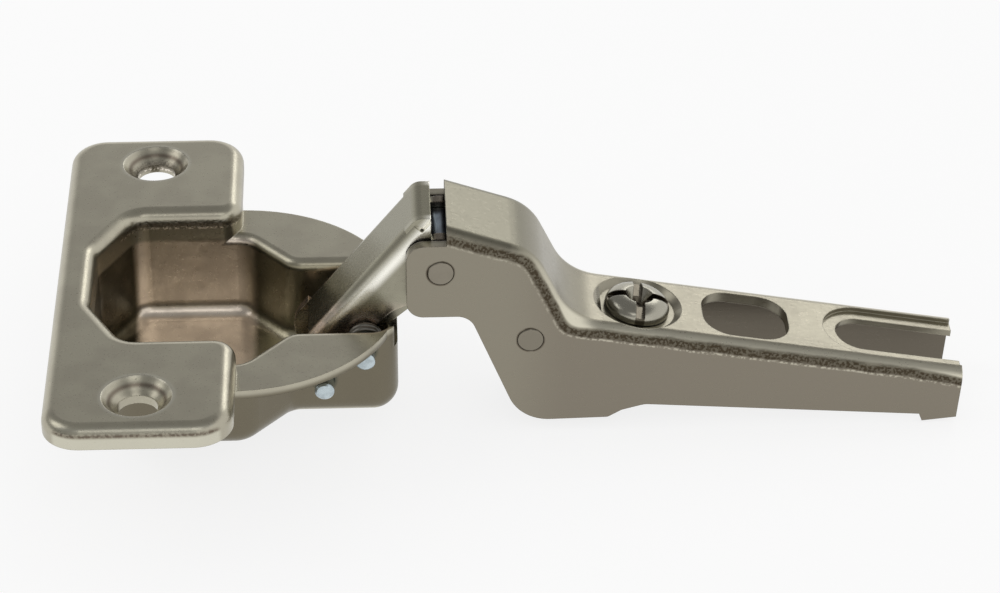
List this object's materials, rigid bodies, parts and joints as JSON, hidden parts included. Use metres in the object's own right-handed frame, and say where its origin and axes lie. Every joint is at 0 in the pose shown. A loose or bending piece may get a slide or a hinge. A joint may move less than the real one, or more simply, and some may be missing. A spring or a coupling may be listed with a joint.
{
  "type": "concealed cup hinge",
  "caption": "Concealed cabinet door hinge with a drawn 35 mm cup and flange, two folded links on pins, and a cranked channel arm with a fork slot and an adjusting screw.",
  "frame": {"origin": "on the axis of the 35 mm cup, in the plane of the door's face, on the hinge's mid plane", "axes": "+X from the cup along the arm in the fully open pose, +Y along the door's edge, +Z out of the door's face"},
  "size_m": [0.0976, 0.0566, 0.026],
  "materials": {
    "nickel_cup": "satin nickel plating",
    "nickel_arm": "satin nickel plating",
    "nickel_link": "bright nickel plating",
    "steel_pin": "drawn bright steel",
    "steel_rivet": "nickel plating, pressed ends",
    "zinc_spacer": "bright zinc plating",
    "spring_wire": "drawn spring wire",
    "nickel_screw": "bright nickel plating"
  },
  "bodies": {
    "cup": {"cup": "nickel_cup", "lower_cup_pin": "steel_pin", "upper_cup_pin": "steel_pin", "near_closing_spring": "spring_wire", "far_closing_spring": "spring_wire"},
    "outer_link": {"outer_link": "nickel_link", "front_spacer": "zinc_spacer"},
    "inner_link": {"inner_link": "nickel_link"},
    "arm": {"arm": "nickel_arm", "front_rivet": "steel_rivet", "rear_rivet": "steel_rivet", "near_rear_spacer": "zinc_spacer", "far_rear_spacer": "zinc_spacer"},
    "adjusting_screw": {"adjusting_screw": "nickel_screw"}
  },
  "joints": [
    {"name": "outer_link_fold", "type": "hinge", "parent": "cup", "child": "outer_link", "pos_m": [0.0093, 0, -0.0068], "axis": [0, -1, 0], "range_deg": [0, 127.5]},
    {"name": "arm_turn", "type": "hinge", "parent": "outer_link", "child": "arm", "pos_m": [0.02183, 0, 0.00549], "axis": [0, -1, 0], "range_deg": [-27.7, 0.1]},
    {"name": "inner_link_fold", "type": "hinge", "parent": "cup", "child": "inner_link", "pos_m": [0.0137, 0, -0.0031], "axis": [0, -1, 0], "range_deg": [-0.1, 147.3]},
    {"name": "adjusting_screw_spin", "type": "hinge", "parent": "arm", "child": "adjusting_screw", "pos_m": [0.0433, 0, -0.00259], "axis": [0.1709, 0, 0.9853], "range_deg": [-1080, 1080]}
  ],
  "couplings": [
    {"joint": "arm_turn", "follows": "outer_link_fold", "ratio": -0.21688},
    {"joint": "inner_link_fold", "follows": "outer_link_fold", "ratio": 1.1549}
  ]
}
